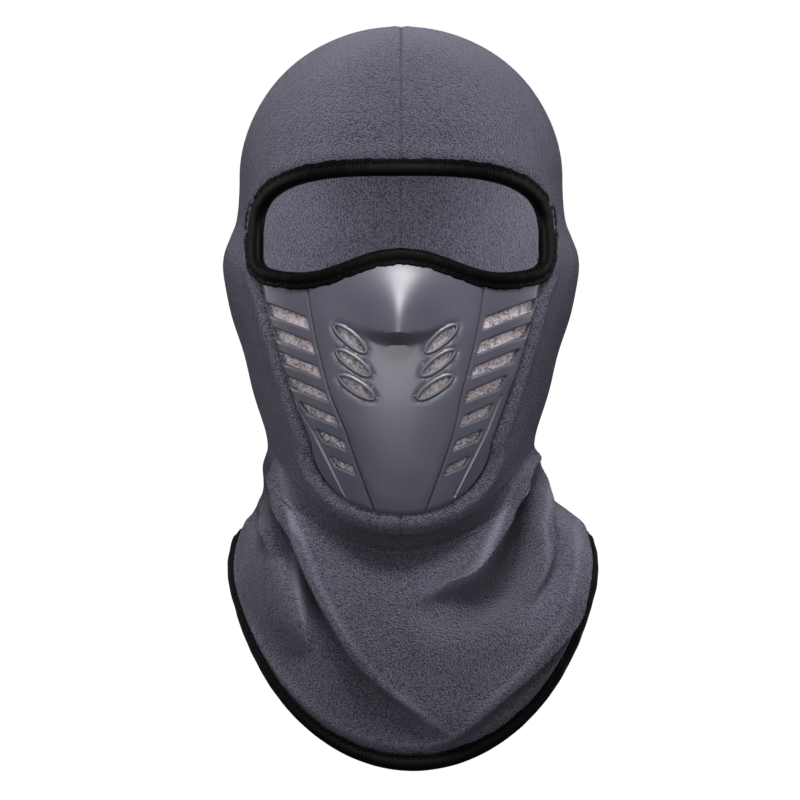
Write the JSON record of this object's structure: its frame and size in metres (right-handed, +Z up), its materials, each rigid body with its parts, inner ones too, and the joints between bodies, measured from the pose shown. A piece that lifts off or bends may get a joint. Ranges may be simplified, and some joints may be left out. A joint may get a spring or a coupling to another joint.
{
  "type": "balaclava with moulded breather mask",
  "caption": "Fleece balaclava in its worn shape, with a bound eye opening, a moulded breather mask with vents and slots, and a draped neck cape.",
  "frame": {"origin": "inside top of the crown, where the wearer's head bears, on the centre plane above the ears", "axes": "+Z up, the wearer faces -Y, +X to the wearer's left"},
  "size_m": [0.187, 0.2147, 0.3689],
  "materials": {
    "fleece": "brushed grey polyester fleece, matt with a light nap",
    "cape_fleece": "brushed grey polyester fleece, matt with a light nap",
    "silicone": "satin grey moulded silicone",
    "pile_lining": "pale long-pile fleece",
    "binding_tape": "black knitted binding tape",
    "seam_thread": "dark grey sewing thread",
    "lining_thread": "pale sewing thread",
    "binding_thread": "black sewing thread",
    "label": "blank white woven satin",
    "label_thread": "grey sewing thread"
  },
  "bodies": {
    "root": {"hood_left": "fleece", "hood_right": "fleece", "neck_cape": "cape_fleece", "breather_mask": "silicone", "face_lining": "pile_lining", "eye_binding": "binding_tape", "hem_binding": "binding_tape", "crown_seam_thread": "seam_thread", "neck_seam_thread": "seam_thread", "cape_back_seam_thread": "seam_thread", "mask_seam_thread": "seam_thread", "lining_thread": "lining_thread", "eye_binding_thread": "binding_thread", "hem_binding_thread": "binding_thread", "care_label": "label", "care_label_thread": "label_thread"}
  },
  "joints": []
}
